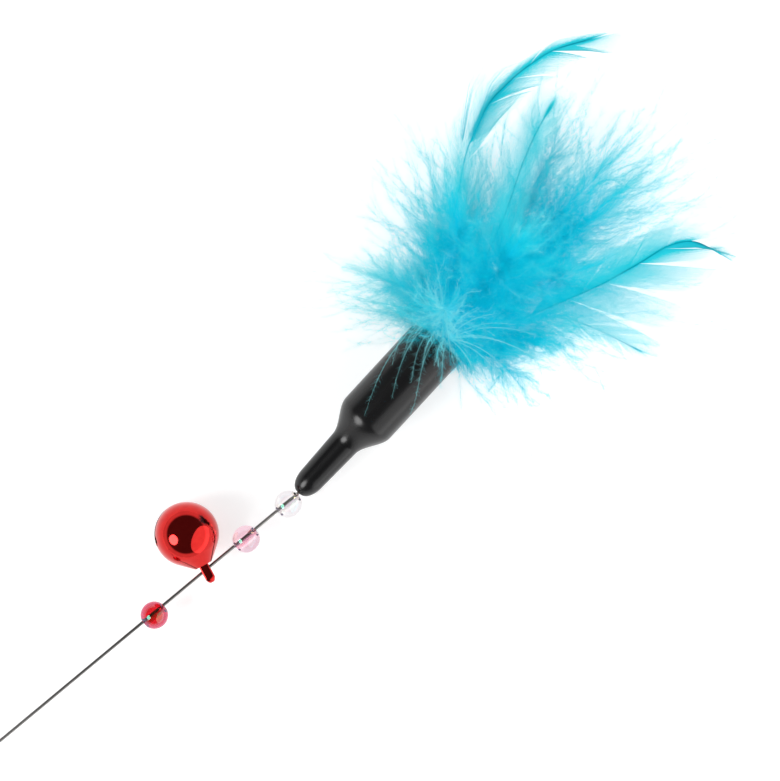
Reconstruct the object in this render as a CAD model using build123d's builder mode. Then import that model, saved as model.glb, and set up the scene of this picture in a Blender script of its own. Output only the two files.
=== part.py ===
"""Cat teaser wand: a sprung wire with a grip, loose beads, a jingle bell and a head of feathers.

The origin is the middle of the grip. +X runs along the wire to the feathers, +Z is up, and the
wand lies on a table that the underside of the grip touches. Lengths are in mm, angles in degrees.
"""
import os
from math import acos, atan2, cos, degrees, hypot, pi, radians, sin
from build123d import *

os.makedirs("parts", exist_ok=True)

# Fits that several pieces share
glue_gap = 0.04
cut_overrun = 1.0

# Wire
wire_diameter = 0.7
bare_wire_length = 285.0
wire_grip_depth = 40.0
wire_nose_straight = 2.7
wire_bend_radius = 12.0
wire_hook_radius = 1.1
wire_hook_length = 2.0
wire_hook_clearance = 0.8

# Grip
grip_diameter = 13.5
grip_length = 80.0
grip_wall = 1.5
core_collar_length = 4.0
core_collar_diameter = 12.4
core_nose_length = 9.0
core_nose_diameter = 3.2
core_edge_round = 0.6

# Cap, along its own axis from the nose to the mouth
cap_yaw = 7.6
cap_pitch = 7.0
cap_length = 45.5
cap_nose_length = 4.3
cap_nose_wall = 2.5
cap_nose_flat_diameter = 1.2
cap_nose_diameter = 5.9
cap_neck_diameter = 6.6
cap_neck_length = 14.5
cap_shoulder_length = 7.8
cap_barrel_diameter = 13.0
cap_wall = 1.2
cap_lip_round = 0.4

# Glue and binding in the cap
plug_length = 14.0
quill_pocket_depth = 8.0
quill_side = 0.8
bundle_radius = 4.2
binding_width = 4.0
binding_thickness = 0.4
binding_clearance = 0.6
binding_to_mouth = 4.0

# Beads
bead_diameter = 6.0
bead_hole_diameter = 1.7
bead_hole_chamfer = 0.25
bead_hang = 0.47
bead_hang_turn = 205.0
clear_bead_from_nose = 3.3
pink_bead_from_nose = 15.2
red_bead_from_nose = 41.0

# Bell
bell_diameter = 14.0
bell_wall = 0.35
bell_from_nose = 26.1
bell_offset = 8.6
bell_lead = 1.75
neck_diameter = 4.0
neck_height = 7.7
slit_width = 1.1
slit_hole_diameter = 2.4
slit_end_angle = 75.0
slit_turn = -12.0
pellet_diameter = 4.0
pellet_clearance = 0.3
loop_strip_width = 2.0
loop_strip_thickness = 0.3
loop_gap = 1.9
loop_tip_height = 11.8
loop_seat_depth = 1.2

# Feathers
plume_length = 64.0
quill_tip_side = 0.25
strand_width = 1.8
strand_thickness = 0.4
strand_tip_width = 0.35
strand_tip_thickness = 0.2
strand_sweep = 40.0
strand_lift = 16.0
strands_a_side = 13
plume_half_width = 8.6
vane_thickness = 0.35
vane_half_width = 9.0
vane_tip_width = 1.2
vane_split_width = 1.4
shaft_steps = 8
spread_power = 0.62
spread_limit = 72.0
spread_centre = 6.0

# Shares of plume_length where strands and vanes begin and end along a shaft
strand_first_share = 0.24
strand_last_share = 0.96
vane_first_share = 0.34
split_shares = (0.52, 0.66, 0.80)
split_root_share = 0.3
split_reach_share = 2.2
collar_length_share = 0.5
collar_half_width_share = 0.55
step_middle_share = 0.5
heading_shares = (0.5, 1.5)

# How full a plume or a vane is along its shaft: shares and powers of the curves
strand_lean_power = 1.6
strand_round_power = 0.5
strand_end_share = 0.9
strand_end_fullness_share = 0.5
vane_tip_share = 0.12
vane_body_share = 0.83
vane_lean_power = 0.8
vane_round_power = 0.6

# Soft plumes: name, turn to the left, lift, share of plume_length
marabou_rows = (
    ("left_marabou", 42.0, -1.0, 0.54),
    ("high_left_marabou", 32.0, 30.0, 0.68),
    ("low_left_marabou", 31.0, -16.0, 0.64),
    ("top_marabou", 3.0, 42.0, 0.80),
    ("high_right_marabou", -17.0, 26.0, 0.84),
    ("right_marabou", -46.0, 23.0, 0.52),
    ("centre_marabou", -1.0, 2.0, 1.00),
    ("under_left_marabou", 11.0, -7.0, 0.93),
    ("under_right_marabou", -1.0, -14.0, 0.93),
    ("low_right_marabou", -43.0, -3.0, 0.52),
    ("front_marabou", -3.0, 9.0, 1.00),
    ("left_collar_marabou", 92.0, 2.0, 0.42),
    ("right_collar_marabou", -72.0, 10.0, 0.40),
    ("top_collar_marabou", 23.0, 60.0, 0.38),
)

# Blade feathers: name, turn and lift of the quill, and the shares of vane_half_width on the left
# and right of the shaft
hackle_rows = (
    ("upper_hackle", 26.0, 12.0, 0.30, 1.00),
    ("middle_hackle", 6.8, 17.5, 0.60, 0.60),
    ("right_hackle", -20.5, 7.5, 0.70, 1.10),
    ("lower_hackle", -14.0, -3.0, 0.80, 0.35),
)

# Places that the blades' shafts pass outside the cap: shares of plume_length ahead of the mouth,
# to the left of its middle and up from it
hackle_place_shares = {
    "upper_hackle": (
        (0.22, 0.17, 0.02),
        (0.53, 0.36, 0.07),
        (0.70, 0.42, 0.09),
        (0.83, 0.41, 0.11),
        (0.97, 0.38, 0.11),
        (1.08, 0.31, 0.09),
    ),
    "middle_hackle": (
        (0.22, 0.04, 0.07),
        (0.46, 0.12, 0.14),
        (0.63, 0.19, 0.20),
        (0.75, 0.23, 0.21),
        (0.84, 0.25, 0.23),
    ),
    "right_hackle": (
        (0.23, -0.15, 0.04),
        (0.50, -0.27, 0.06),
        (0.65, -0.32, 0.07),
        (0.75, -0.35, 0.07),
        (0.84, -0.39, 0.08),
    ),
    "lower_hackle": (
        (0.13, -0.06, -0.04),
        (0.24, -0.14, -0.05),
        (0.34, -0.28, -0.08),
        (0.38, -0.39, -0.10),
        (0.42, -0.52, -0.12),
    ),
}

# Sizes that follow from the ones above
wire_radius = wire_diameter / 2
grip_radius = grip_diameter / 2
grip_bore_radius = grip_radius - grip_wall
collar_radius = core_collar_diameter / 2
grip_front = grip_length / 2
core_front = grip_front + core_collar_length + core_nose_length
nose_x = core_front + bare_wire_length
neck_end = cap_neck_length
barrel_start = cap_neck_length + cap_shoulder_length
barrel_radius = cap_barrel_diameter / 2
barrel_bore_radius = barrel_radius - cap_wall
neck_radius = cap_neck_diameter / 2
nose_radius = cap_nose_diameter / 2
nose_flat_radius = cap_nose_flat_diameter / 2
bead_radius = bead_diameter / 2
bell_radius = bell_diameter / 2
plug_front = barrel_start + plug_length
quill_depth = cap_length - plug_front + quill_pocket_depth

# Directions and planes of the head: x is left, y is up and z runs from the nose to the mouth
along_wire = Vector(1, 0, 0)
straight_up = Vector(0, 0, 1)
nose_point = Vector(nose_x, 0, 0)
cap_axis = Vector(
    cos(radians(cap_pitch)) * cos(radians(cap_yaw)),
    cos(radians(cap_pitch)) * sin(radians(cap_yaw)),
    sin(radians(cap_pitch)),
)
head = Plane(origin=nose_point, x_dir=straight_up.cross(cap_axis), z_dir=cap_axis)
mouth = head.offset(cap_length)


def side_plane(plane):
    """Plane through an axis: its x is the radius and its y runs along the axis."""
    return Plane(origin=plane.origin, x_dir=plane.x_dir, z_dir=-plane.y_dir)


def finish(part, name):
    """Name a sub-part and write it to its own file."""
    part.label = name
    export_step(part, "parts/" + name + ".step")


# Wire: straight from the grip to the nose, a slight bend in the neck and a hook in the glue
bend_angle = cap_axis.get_angle(along_wire)
wire_plane = Plane(origin=nose_point, x_dir=along_wire, z_dir=along_wire.cross(cap_axis))
wire_start = -(bare_wire_length + wire_grip_depth)
bend_end = wire_nose_straight * cos(radians(bend_angle)) + wire_bend_radius * sin(radians(bend_angle))
hook_crown = plug_front - quill_pocket_depth - wire_hook_clearance - wire_radius
hook_reach = hook_crown - wire_hook_radius - bend_end


def wire_route():
    """Centre line of the wire, from its end in the grip core to the tip of its hook."""
    with BuildLine(wire_plane) as route:
        straight = Line((wire_start, 0), (wire_nose_straight, 0))
        bend = JernArc(straight @ 1, straight % 1, wire_bend_radius, bend_angle)
        inner = PolarLine(bend @ 1, hook_reach, direction=bend % 1)
        hook = JernArc(inner @ 1, inner % 1, wire_hook_radius, -180)
        PolarLine(hook @ 1, wire_hook_length, direction=hook % 1)
    return route.line


def wire_sweep(radius):
    """Round bar of the given radius along the wire's centre line."""
    route = wire_route()
    with BuildPart() as bar:
        with BuildSketch(Plane(origin=route @ 0, z_dir=route % 0)):
            Circle(radius)
        sweep(path=route)
    return bar.part


finish(wire_sweep(wire_radius), "wand_wire")
wire_pocket = wire_sweep(wire_radius + glue_gap)

# Grip core: a dowel with a collar and a tapered nose, drilled for the wire
grip_plane = Plane(origin=(0, 0, 0), x_dir=(0, 1, 0), z_dir=(1, 0, 0))
dowel_radius = grip_bore_radius - glue_gap
with BuildPart() as grip_core:
    with BuildSketch(side_plane(grip_plane)):
        with BuildLine():
            Polyline(
                (0, -grip_front),
                (dowel_radius, -grip_front),
                (dowel_radius, grip_front + glue_gap),
                (collar_radius, grip_front + glue_gap),
                (collar_radius, grip_front + core_collar_length),
                (core_nose_diameter / 2, core_front),
                (0, core_front),
                close=True,
            )
        make_face()
    revolve(axis=Axis((0, 0, 0), (1, 0, 0)))
    fillet(grip_core.edges().filter_by(GeomType.CIRCLE).sort_by(Axis.X)[-3:], core_edge_round)
    add(wire_pocket, mode=Mode.SUBTRACT)
finish(grip_core.part, "grip_core")

# Grip sleeve: dip-moulded vinyl with a domed butt
with BuildPart() as grip_sleeve:
    with BuildSketch(side_plane(grip_plane)):
        with BuildLine():
            outer = CenterArc((0, -grip_front), grip_radius, -90, 90)
            inner = CenterArc((0, -grip_front), grip_bore_radius, -90, 90)
            Line(inner @ 0, outer @ 0)
            Line(outer @ 1, (grip_radius, grip_front))
            Line((grip_radius, grip_front), (grip_bore_radius, grip_front))
            Line((grip_bore_radius, grip_front), inner @ 1)
        make_face()
    revolve(axis=Axis((0, 0, 0), (1, 0, 0)))
    fillet(grip_sleeve.edges().filter_by(GeomType.CIRCLE).sort_by(Axis.X)[-1:], core_edge_round)
finish(grip_sleeve.part, "grip_sleeve")


# Cap: dip-moulded vinyl, stepped from a narrow neck to a wide barrel
def shoulder(inner_radius, outer_radius):
    """S-shaped step between two radii, tangent to the neck and to the barrel."""
    middle = ((inner_radius + outer_radius) / 2, (neck_end + barrel_start) / 2)
    lower = TangentArc((inner_radius, neck_end), middle, tangent=(0, 1))
    TangentArc(lower @ 1, (outer_radius, barrel_start), tangent=lower % 1)


with BuildPart() as feather_cap:
    with BuildSketch(side_plane(head)):
        with BuildLine():
            nose = EllipticalCenterArc(
                (nose_flat_radius, cap_nose_length),
                nose_radius - nose_flat_radius,
                cap_nose_length,
                start_angle=270,
                arc_size=90,
            )
            Line((0, 0), nose @ 0)
            Line(nose @ 1, (neck_radius, neck_end))
            shoulder(neck_radius, barrel_radius)
            Line((barrel_radius, barrel_start), (barrel_radius, cap_length))
            Line((barrel_radius, cap_length), (0, cap_length))
            Line((0, cap_length), (0, 0))
        make_face()
        with BuildLine():
            Line((0, cap_length + cut_overrun), (0, cap_nose_wall))
            Line((0, cap_nose_wall), (nose_radius - cap_wall, cap_nose_wall))
            Line((nose_radius - cap_wall, cap_nose_wall), (neck_radius - cap_wall, neck_end))
            shoulder(neck_radius - cap_wall, barrel_bore_radius)
            wall_top = (barrel_bore_radius, cap_length + cut_overrun)
            Line((barrel_bore_radius, barrel_start), wall_top)
            Line(wall_top, (0, cap_length + cut_overrun))
        make_face(mode=Mode.SUBTRACT)
    revolve(axis=Axis(head.origin, head.z_dir))
    mouth_edges = feather_cap.edges().group_by(Axis(head.origin, head.z_dir))[-1]
    fillet(mouth_edges, cap_lip_round)
    with BuildSketch(Plane(origin=nose_point - along_wire * cut_overrun, z_dir=along_wire)):
        Circle(wire_radius + glue_gap)
    extrude(amount=cap_nose_length + cut_overrun, mode=Mode.SUBTRACT)
finish(feather_cap.part, "feather_cap")


# Feather places: the quills spread in the cap in the order in which the feathers fan out
def quill_spot(turn, lift):
    """Place of a quill in the mouth plane for a feather with this turn and lift."""
    spread = hypot(turn, lift - spread_centre)
    reach = bundle_radius * (min(spread, spread_limit) / spread_limit) ** spread_power
    angle = atan2(lift - spread_centre, turn)
    return reach * cos(angle), reach * sin(angle)


def quill_stations(spot):
    """Planes at the two ends of a quill: its foot in the glue and the mouth of the cap."""
    planes = (head.offset(cap_length - quill_depth), mouth)
    return [Plane(plane.from_local_coords(spot), plane.x_dir, plane.z_dir) for plane in planes]


def plume_stations(spot, heading_turn, heading_lift, length):
    """Planes along a plume's shaft: its quill, then steps of a curve that fans out from the mouth."""
    stations = quill_stations(spot)
    point = stations[-1].origin
    first_share, last_share = heading_shares
    for step in range(shaft_steps):
        share = (step + step_middle_share) / shaft_steps
        heading_share = first_share + (last_share - first_share) * share
        turn = radians(heading_turn * heading_share)
        lift = radians(heading_lift * heading_share)
        flat = mouth.z_dir * cos(turn) + mouth.x_dir * sin(turn)
        forward = flat * cos(lift) + mouth.y_dir * sin(lift)
        sideways = mouth.x_dir * cos(turn) - mouth.z_dir * sin(turn)
        point = point + forward * (length / shaft_steps)
        stations.append(Plane(origin=point, x_dir=sideways, z_dir=forward))
    return stations


def blade_stations(spot, place_shares):
    """Planes along a blade's shaft: its quill, then even steps of a curve through its places."""
    stations = quill_stations(spot)
    with BuildLine() as route:
        places = [
            mouth.from_local_coords((left * plume_length, up * plume_length, ahead * plume_length))
            for ahead, left, up in place_shares
        ]
        Spline(stations[-1].origin, *places)
    for step in range(shaft_steps):
        share = (step + 1) / shaft_steps
        forward = route.line % share
        sideways = mouth.y_dir.cross(forward)
        stations.append(Plane(origin=route.line @ share, x_dir=sideways, z_dir=forward))
    return stations


def shaft_plane(stations, share):
    """Plane on a shaft at a share of its length outside the cap."""
    place = min(share * shaft_steps, shaft_steps)
    before = min(int(place), shaft_steps - 1)
    first, second = stations[before + 1], stations[before + 2]
    middle = first.origin + (second.origin - first.origin) * (place - before)
    return Plane(origin=middle, x_dir=second.x_dir, z_dir=second.z_dir)


def shaft_side(share):
    """Side of the square shaft at a share of its length outside the cap."""
    return quill_side + (quill_tip_side - quill_side) * max(share, 0)


def strand(root, side, sweep_angle, lift_angle, length):
    """One flat tapered barb that leaves the shaft to one side."""
    out = root.x_dir * (side * cos(lift_angle)) + root.y_dir * sin(lift_angle)
    forward = root.z_dir * cos(sweep_angle) + out * sin(sweep_angle)
    across = root.z_dir * sin(sweep_angle) - out * cos(sweep_angle)
    base = Plane(origin=root.origin, x_dir=across, z_dir=across.cross(forward))
    with BuildPart(base) as barb:
        Wedge(
            strand_width,
            length,
            strand_thickness,
            (strand_width - strand_tip_width) / 2,
            (strand_thickness - strand_tip_thickness) / 2,
            (strand_width + strand_tip_width) / 2,
            (strand_thickness + strand_tip_thickness) / 2,
            align=(Align.CENTER, Align.MIN, Align.CENTER),
        )
    return barb.part


def strands_along(stations, half_width):
    """Pairs of barbs along a shaft, longest at two thirds of it and shorter to both ends."""
    barbs = []
    sweep_angle = radians(strand_sweep)
    for index in range(strands_a_side):
        run = index / (strands_a_side - 1)
        share = strand_first_share + (strand_last_share - strand_first_share) * run
        fullness = strand_end_fullness_share
        if share < strand_end_share:
            fullness = sin(pi * share**strand_lean_power) ** strand_round_power
        reach = half_width * fullness / sin(sweep_angle)
        for side in (-1, 1):
            lift_angle = radians(strand_lift) * (1 if index % 2 else -1)
            root = shaft_plane(stations, share)
            barbs.append(strand(root, side, sweep_angle, lift_angle, reach))
    return barbs


quill_spots = []

# Marabou plumes: a soft shaft with loose barbs along both sides
for name, turn, lift, length_share in marabou_rows:
    quill_spots.append(quill_spot(turn, lift))
    stations = plume_stations(quill_spots[-1], turn, lift, plume_length * length_share)
    width_share = 1 if length_share > collar_length_share else collar_half_width_share
    barbs = strands_along(stations, plume_half_width * width_share)
    with BuildPart() as marabou:
        for index, station in enumerate(stations):
            side = shaft_side((index - 1) / shaft_steps)
            with BuildSketch(station):
                Rectangle(side, side)
        loft(ruled=True)
        add(barbs)
    finish(marabou.part, name)

# Blade feathers: a stiffer shaft with a thin closed vane that has split along its barbs
for name, turn, lift, left, right in hackle_rows:
    quill_spots.append(quill_spot(turn, lift))
    stations = blade_stations(quill_spots[-1], hackle_place_shares[name])
    with BuildPart() as hackle:
        for index, station in enumerate(stations):
            side = shaft_side((index - 1) / shaft_steps)
            with BuildSketch(station):
                Rectangle(side, side)
        loft(ruled=True)
        for index in range(shaft_steps + 1):
            share = vane_first_share + (1 - vane_first_share) * index / shaft_steps
            rest = (1 - index / shaft_steps) ** vane_lean_power
            fullness = sin(pi * (vane_tip_share + vane_body_share * rest)) ** vane_round_power
            width = vane_half_width * fullness
            with BuildSketch(shaft_plane(stations, share)):
                with Locations(((left - right) * width / 2, 0)):
                    Rectangle((left + right) * width + vane_tip_width, vane_thickness)
        loft(ruled=True)
        for share in split_shares:
            root = shaft_plane(stations, share)
            barb = root.z_dir * cos(radians(strand_sweep)) - root.x_dir * sin(radians(strand_sweep))
            inner_end = vane_half_width * right * split_root_share
            outer_end = vane_half_width * right * split_reach_share
            with BuildSketch(Plane(origin=root.origin, x_dir=barb, z_dir=root.y_dir)):
                with BuildLine():
                    Polyline(
                        (inner_end, 0),
                        (outer_end, vane_split_width),
                        (outer_end, -vane_split_width),
                        close=True,
                    )
                make_face()
            extrude(amount=vane_half_width / 2, both=True, mode=Mode.SUBTRACT)
    finish(hackle.part, name)

# Glue plug: fills the barrel behind the quills, around the wire's hook
with BuildPart() as glue_plug:
    with BuildSketch(head.offset(barrel_start)):
        Circle(barrel_bore_radius - glue_gap)
    extrude(amount=plug_length)
    with BuildSketch(head.offset(plug_front)):
        with Locations(*quill_spots):
            Rectangle(quill_side + glue_gap * 2, quill_side + glue_gap * 2)
    extrude(amount=-(quill_pocket_depth + glue_gap), mode=Mode.SUBTRACT)
    add(wire_pocket, mode=Mode.SUBTRACT)
finish(glue_plug.part, "glue_plug")

# Quill binding: wrapped band around the bundle of quills, just inside the mouth
binding_bore = bundle_radius + binding_clearance
with BuildPart() as quill_binding:
    with BuildSketch(mouth.offset(-binding_to_mouth)):
        Circle(binding_bore + binding_thickness)
        Circle(binding_bore, mode=Mode.SUBTRACT)
    extrude(amount=-binding_width)
finish(quill_binding.part, "quill_binding")

# Beads: pressed acrylic balls with a wide hole, so that they hang a little off the wire
bead_side = Vector(0, cos(radians(bead_hang_turn)), sin(radians(bead_hang_turn)))
bead_places = (
    ("red_bead", red_bead_from_nose),
    ("pink_bead", pink_bead_from_nose),
    ("clear_bead", clear_bead_from_nose),
)
for name, from_nose in bead_places:
    centre = nose_point - along_wire * from_nose + bead_side * bead_hang
    bead_plane = Plane(origin=centre, x_dir=(0, 1, 0), z_dir=along_wire)
    with BuildPart() as bead:
        with BuildSketch(side_plane(bead_plane)):
            with BuildLine():
                half = CenterArc((0, 0), bead_radius, -90, 180)
                Line(half @ 1, half @ 0)
            make_face()
        revolve(axis=Axis(bead_plane.origin, bead_plane.z_dir))
        with BuildSketch(bead_plane):
            Circle(bead_hole_diameter / 2)
        extrude(amount=bead_diameter, both=True, mode=Mode.SUBTRACT)
        chamfer(bead.edges().filter_by(GeomType.CIRCLE), bead_hole_chamfer)
    finish(bead.part, name)

# Bell frame: z runs from the middle of the ball to the loop, x is level
bell_rise = bell_radius - grip_radius
bell_centre = Vector(nose_x - bell_from_nose + bell_lead, bell_offset, bell_rise)
loop_way = Vector(-bell_lead, -bell_offset, 0).normalized()
bell = Plane(origin=bell_centre, x_dir=loop_way.cross(straight_up), z_dir=loop_way)
bell_axis = Axis(bell.origin, bell.z_dir)
bell_neck_radius = neck_diameter / 2


def bell_outline(radius, tip_radius, tip_height):
    """Half outline of the bell: a ball that runs straight into its neck."""
    reach = hypot(tip_radius, tip_height)
    touch = 90 - degrees(atan2(tip_radius, tip_height)) - degrees(acos(radius / reach))
    ball = CenterArc((0, 0), radius, -90, 90 + touch)
    Line(ball @ 1, (tip_radius, tip_height))
    Line((tip_radius, tip_height), (0, tip_height))
    Line((0, tip_height), ball @ 0)


# Bell shell: pressed from thin sheet, with one slit that ends in two round holes
slit_plane = Plane(bell.origin, bell.x_dir.rotate(bell_axis, slit_turn), bell.z_dir)
slit_half = bell_radius * sin(radians(slit_end_angle))
slit_depth = bell_radius * cos(radians(slit_end_angle))
with BuildPart() as bell_shell:
    with BuildSketch(side_plane(bell)):
        with BuildLine():
            bell_outline(bell_radius, bell_neck_radius, neck_height)
        make_face()
        with BuildLine():
            bell_outline(bell_radius - bell_wall, bell_neck_radius - bell_wall, neck_height)
        make_face(mode=Mode.SUBTRACT)
    revolve(axis=bell_axis)
    with BuildSketch(slit_plane.offset(-bell_radius - cut_overrun)):
        Rectangle(slit_half * 2, slit_width)
    extrude(amount=bell_radius + cut_overrun - slit_depth, mode=Mode.SUBTRACT)
    for way in (-1, 1):
        hole_way = slit_plane.x_dir * (slit_half * way) - slit_plane.z_dir * slit_depth
        with BuildSketch(Plane(origin=bell.origin, z_dir=hole_way)):
            Circle(slit_hole_diameter / 2)
        extrude(amount=bell_radius + cut_overrun, mode=Mode.SUBTRACT)
finish(bell_shell.part, "bell_shell")

# Bell loop: a bent strip whose legs are pinched in the neck, with the wire through it
loop_plane = Plane(origin=bell.origin, x_dir=bell.y_dir, z_dir=bell.z_dir.cross(bell.y_dir) * -1)
leg_inner = loop_gap / 2
leg_outer = leg_inner + loop_strip_thickness
loop_bend_height = loop_tip_height - leg_outer
leg_foot = neck_height - loop_seat_depth
with BuildPart() as bell_loop:
    with BuildSketch(loop_plane):
        with BuildLine():
            crown = CenterArc((0, loop_bend_height), leg_outer, 0, 180)
            Line(crown @ 1, (-leg_outer, leg_foot))
            Line((-leg_outer, leg_foot), (-leg_inner, leg_foot))
            bore = CenterArc((0, loop_bend_height), leg_inner, 0, 180)
            Line((-leg_inner, leg_foot), bore @ 1)
            Line(bore @ 0, (leg_inner, leg_foot))
            Line((leg_inner, leg_foot), (leg_outer, leg_foot))
            Line((leg_outer, leg_foot), crown @ 0)
        make_face()
    extrude(amount=loop_strip_width / 2, both=True)
finish(bell_loop.part, "bell_loop")

# Bell pellet: loose steel ball, lying at the bottom of the shell
pellet_radius = pellet_diameter / 2
pellet_drop = bell_radius - bell_wall - pellet_radius - pellet_clearance
pellet_plane = Plane(origin=bell_centre - straight_up * pellet_drop, x_dir=(1, 0, 0), z_dir=(0, 0, 1))
with BuildPart() as bell_pellet:
    with BuildSketch(side_plane(pellet_plane)):
        with BuildLine():
            half = CenterArc((0, 0), pellet_radius, -90, 180)
            Line(half @ 1, half @ 0)
        make_face()
    revolve(axis=Axis(pellet_plane.origin, pellet_plane.z_dir))
finish(bell_pellet.part, "bell_pellet")
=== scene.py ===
"""Cat teaser wand lying on a white table, lit from two sides and seen from straight above."""
import math
import bpy
import numpy as np
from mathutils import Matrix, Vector


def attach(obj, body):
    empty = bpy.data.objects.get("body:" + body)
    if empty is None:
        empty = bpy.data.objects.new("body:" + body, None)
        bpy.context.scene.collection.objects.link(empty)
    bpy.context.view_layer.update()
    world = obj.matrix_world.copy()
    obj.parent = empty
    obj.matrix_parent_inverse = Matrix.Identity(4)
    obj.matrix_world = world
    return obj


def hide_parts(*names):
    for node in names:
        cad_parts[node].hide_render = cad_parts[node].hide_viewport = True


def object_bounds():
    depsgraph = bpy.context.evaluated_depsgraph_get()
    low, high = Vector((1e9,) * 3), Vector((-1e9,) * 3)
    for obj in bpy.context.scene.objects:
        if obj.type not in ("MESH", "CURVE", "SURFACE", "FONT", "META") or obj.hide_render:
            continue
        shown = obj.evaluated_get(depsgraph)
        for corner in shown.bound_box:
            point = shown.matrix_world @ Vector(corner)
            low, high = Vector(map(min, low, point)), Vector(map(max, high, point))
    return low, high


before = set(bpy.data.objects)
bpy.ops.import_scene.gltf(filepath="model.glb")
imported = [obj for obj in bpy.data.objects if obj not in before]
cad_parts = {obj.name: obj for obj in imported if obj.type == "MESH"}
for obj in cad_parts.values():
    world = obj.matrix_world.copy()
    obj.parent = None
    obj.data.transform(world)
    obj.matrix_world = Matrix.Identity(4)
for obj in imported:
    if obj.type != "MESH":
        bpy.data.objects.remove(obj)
cad_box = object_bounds()

# Wire: drawn spring steel, straight from the grip to the cap, with a slight bend in the cap's neck.
# It is glued into the grip at one end and into the cap at the other.
# Sizes are in mm, and MM turns them into metres.
MM = 0.001
ALONG_WIRE = np.array([1.0, 0.0, 0.0])
SKYWARD = np.array([0.0, 0.0, 1.0])
NOSE = np.array([338.0, 0.0, 0.0]) * MM
CAP_YAW = math.radians(7.6)
CAP_PITCH = math.radians(7.0)
FORWARD = np.array(
    [math.cos(CAP_PITCH) * math.cos(CAP_YAW), math.cos(CAP_PITCH) * math.sin(CAP_YAW), math.sin(CAP_PITCH)]
)
LEFT = np.array([-math.sin(CAP_YAW), math.cos(CAP_YAW), 0.0])
UP = np.cross(FORWARD, LEFT)
WIRE_RADIUS = 0.35
WIRE_BACK = 325.0
WIRE_NOSE_STRAIGHT = 2.7
WIRE_BEND_RADIUS = 12.0
WIRE_INNER_LENGTH = 18.0
WIRE_SIDES = 20
STRAIGHT_STEPS = 40
BEND_STEPS = 8
INNER_STEPS = 6
SHORTEST = 1e-12


def unit(vectors):
    """Vectors divided by their length."""
    return vectors / np.maximum(np.linalg.norm(vectors, axis=-1, keepdims=True), SHORTEST)


def grid_faces(rows, columns, wrap=False):
    """Quads of a grid of rows x columns points, joined round its columns if wrap is set."""
    r, c = np.meshgrid(np.arange(rows - 1), np.arange(columns if wrap else columns - 1), indexing="ij")
    a, b = r * columns + c, r * columns + (c + 1) % columns
    return np.stack([a, b, b + columns, a + columns], axis=-1).reshape(-1, 4)


def add_piece(name, points, faces, material, body, replaced=(), values=None):
    """Mesh object from points in metres and faces of three or more corners, fixed to its body.

    values holds one number per point for each named attribute that the material reads.
    """
    mesh = bpy.data.meshes.new(name)
    faces = faces if isinstance(faces, list) else [faces]
    corners = np.concatenate([f.ravel() for f in faces])
    sizes = np.concatenate([np.full(len(f), f.shape[1]) for f in faces])
    mesh.vertices.add(len(points))
    mesh.vertices.foreach_set("co", np.ascontiguousarray(points, dtype=np.float32).ravel())
    mesh.loops.add(len(corners))
    mesh.loops.foreach_set("vertex_index", corners.astype(np.int32))
    mesh.polygons.add(len(sizes))
    mesh.polygons.foreach_set("loop_start", np.concatenate([[0], np.cumsum(sizes)[:-1]]).astype(np.int32))
    mesh.polygons.foreach_set("use_smooth", np.ones(len(sizes), dtype=bool))
    for key, numbers in (values or {}).items():
        layer = mesh.attributes.new(key, "FLOAT", "POINT")
        layer.data.foreach_set("value", np.ascontiguousarray(numbers, dtype=np.float32))
    mesh.update(calc_edges=True)
    mesh.validate()
    mesh.materials.append(material)
    piece = bpy.data.objects.new(name, mesh)
    bpy.context.scene.collection.objects.link(piece)
    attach(piece, body)
    if replaced:
        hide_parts(*replaced)
    return piece


def end_caps(rows, count):
    """The two faces that close a tube of that many rows with count points each."""
    return [np.arange(count)[::-1][None], (np.arange(count) + (rows - 1) * count)[None]]


def tube(path, radius, sides):
    """Round tube with flat ends along a path: rings of that radius square to the path's direction."""
    ahead = unit(np.gradient(path, axis=0))
    across = unit(np.cross(np.broadcast_to(SKYWARD, ahead.shape), ahead))
    over = np.cross(ahead, across)
    turn = np.linspace(0, 2 * np.pi, sides, endpoint=False)
    ring = np.cos(turn)[None, :, None] * across[:, None] + np.sin(turn)[None, :, None] * over[:, None]
    points = (path[:, None] + ring * radius).reshape(-1, 3)
    return points, [grid_faces(len(path), sides, wrap=True)] + end_caps(len(path), sides)


def new_material(name, **sockets):
    """Material with a Principled BSDF whose named sockets are set."""
    material = bpy.data.materials.new(name)
    material.use_nodes = True
    shader = material.node_tree.nodes["Principled BSDF"]
    for socket, value in sockets.items():
        shader.inputs[socket.replace("_", " ")].default_value = value
    return material, material.node_tree, shader


def new_group(name, inputs, output):
    """Shader node group with named inputs and one value as output, and its two end nodes."""
    group = bpy.data.node_groups.new(name, "ShaderNodeTree")
    for socket, kind in inputs:
        group.interface.new_socket(socket, in_out="INPUT", socket_type=kind)
    group.interface.new_socket(output, in_out="OUTPUT", socket_type="NodeSocketFloat")
    return group, group.nodes.new("NodeGroupInput"), group.nodes.new("NodeGroupOutput")


MOTTLE_INPUTS = (
    ("Scale", "NodeSocketFloat"), ("Detail", "NodeSocketFloat"), ("Stretch", "NodeSocketVector"),
)
MOTTLE, given, result = new_group("mottle", MOTTLE_INPUTS, "Mottle")
own_place = MOTTLE.nodes.new("ShaderNodeTexCoord")
mapping = MOTTLE.nodes.new("ShaderNodeMapping")
texture = MOTTLE.nodes.new("ShaderNodeTexNoise")
MOTTLE.links.new(own_place.outputs["Object"], mapping.inputs["Vector"])
MOTTLE.links.new(given.outputs["Stretch"], mapping.inputs["Scale"])
MOTTLE.links.new(mapping.outputs["Vector"], texture.inputs["Vector"])
MOTTLE.links.new(given.outputs["Scale"], texture.inputs["Scale"])
MOTTLE.links.new(given.outputs["Detail"], texture.inputs["Detail"])
MOTTLE.links.new(texture.outputs["Fac"], result.inputs["Mottle"])


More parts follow.
